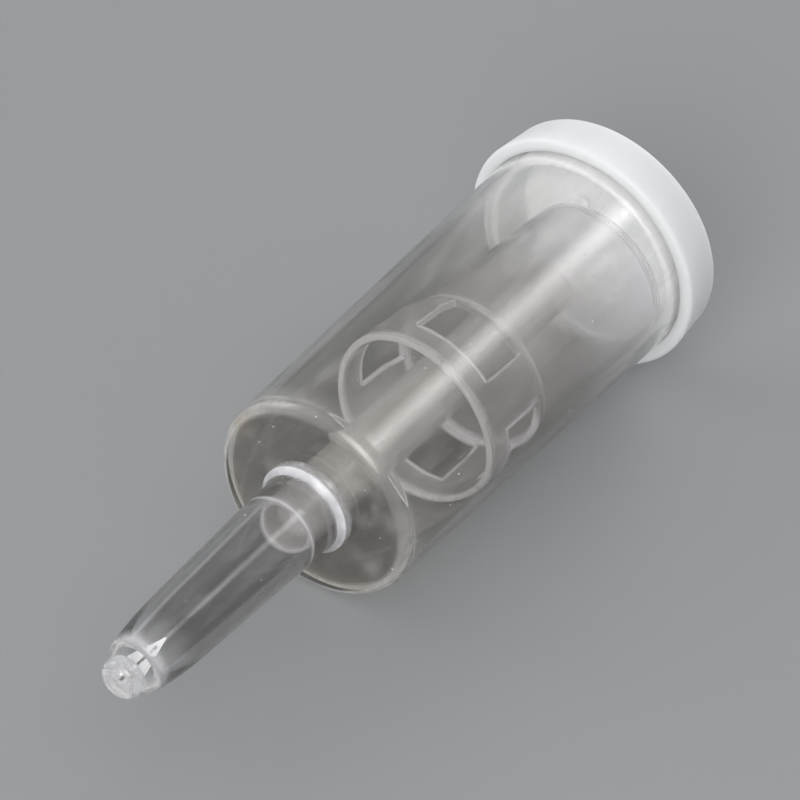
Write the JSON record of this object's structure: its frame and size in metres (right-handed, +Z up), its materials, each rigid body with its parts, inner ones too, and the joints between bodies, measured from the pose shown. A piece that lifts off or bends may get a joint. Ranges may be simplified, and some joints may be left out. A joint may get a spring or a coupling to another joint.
{
  "type": "three-piece airlock",
  "caption": "Clear plastic water-seal airlock with a tapered stem, a loose float bell over a standpipe, and a press-on vented cap.",
  "frame": {"origin": "on the body's axis at the foot of the stem's conical shoulder, where the stem enters a bung", "axes": "+X along the body's axis from the stem's tip to the cap, +Z up with the airlock lying on its side"},
  "size_m": [0.1203, 0.0382, 0.0382],
  "materials": {
    "clear_plastic": "clear moulded plastic, glossy, lightly scratched",
    "white_cap": "milky white soft plastic, satin"
  },
  "bodies": {
    "body": {"chamber": "clear_plastic", "centre_tube": "clear_plastic", "stem": "clear_plastic", "tip_plug": "clear_plastic"},
    "float": {"float_bell": "clear_plastic"},
    "lid": {"cap": "white_cap"}
  },
  "joints": [
    {"name": "float_slide", "type": "slide", "parent": "body", "child": "float", "axis": [1, 0, 0], "range_m": [-0.0068, 0]},
    {"name": "cap_pull", "type": "slide", "parent": "body", "child": "lid", "axis": [1, 0, 0], "range_m": [0, 0.02]}
  ]
}
